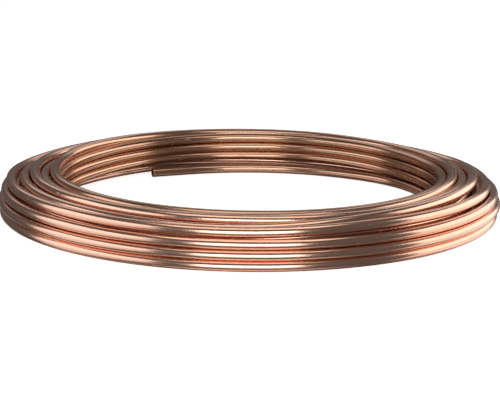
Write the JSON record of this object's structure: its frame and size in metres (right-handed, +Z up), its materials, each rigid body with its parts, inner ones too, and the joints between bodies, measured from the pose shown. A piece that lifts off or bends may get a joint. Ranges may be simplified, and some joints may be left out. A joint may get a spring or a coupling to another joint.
{
  "type": "copper tube coil",
  "caption": "Flat round coil of bright soft copper tube, wound in layers around a wide open eye, with one cut end drawn out inside it.",
  "frame": {"origin": "on the coil's axis, at the floor that it lies on", "axes": "+Z up along the coil's axis; +Y towards the side where the tube's inner end lies"},
  "size_m": [0.5079, 0.508, 0.0457],
  "materials": {
    "copper": null
  },
  "bodies": {
    "root": {"copper_tube": "copper"}
  },
  "joints": []
}
